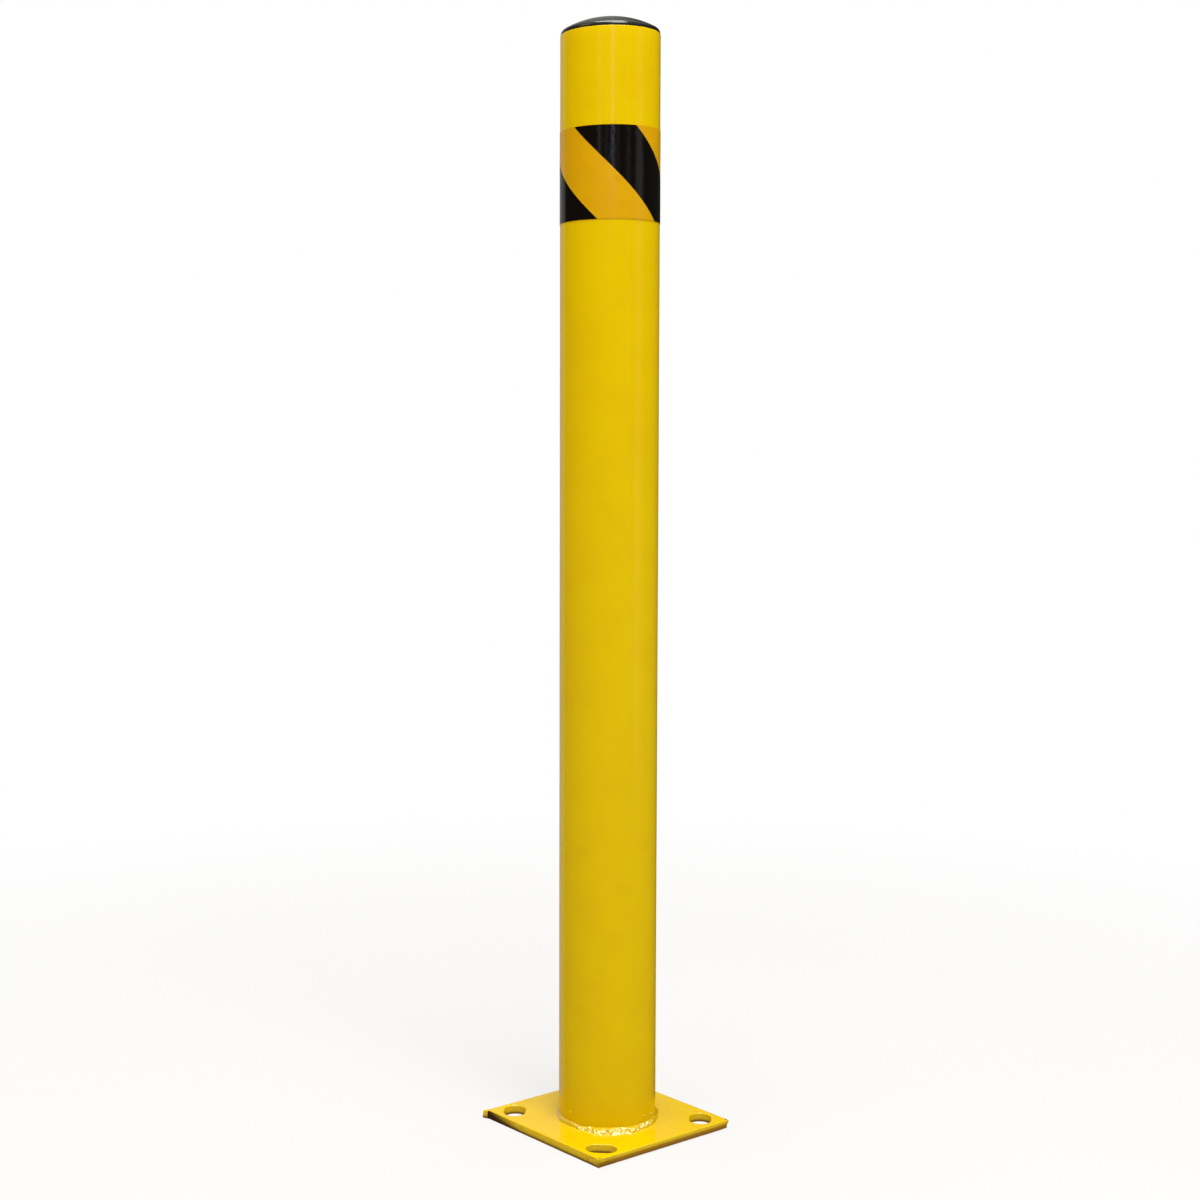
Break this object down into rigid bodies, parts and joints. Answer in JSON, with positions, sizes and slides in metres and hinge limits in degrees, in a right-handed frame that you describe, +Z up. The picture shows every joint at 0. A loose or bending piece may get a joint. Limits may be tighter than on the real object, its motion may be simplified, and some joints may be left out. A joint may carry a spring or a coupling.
{
  "type": "safety bollard",
  "caption": "Round steel safety bollard: coated tube welded to a square slotted base plate, closed by a domed plug cap, with a band of slant-striped hazard tape near the top.",
  "frame": {"origin": "on the ground under the post's axis, at the middle of the base plate's underside", "axes": "+Z up along the post, X and Y along the base plate's edges; the tape's lap is towards the plate's corner at +X, +Y"},
  "size_m": [0.16, 0.16, 1.0155],
  "materials": {
    "yellow_coat": "gloss",
    "cap_black": "satin",
    "tape_amber": "gloss",
    "tape_black": "gloss"
  },
  "bodies": {
    "post": {"base_plate": "yellow_coat", "post_tube": "yellow_coat", "foot_weld": "yellow_coat", "hazard_tape": "tape_amber", "tape_bars": "tape_black"},
    "cap": {"end_cap": "cap_black"}
  },
  "joints": [
    {"name": "cap_pull", "type": "slide", "parent": "post", "child": "cap", "axis": [0, 0, 1], "range_m": [0, 0.06]}
  ]
}
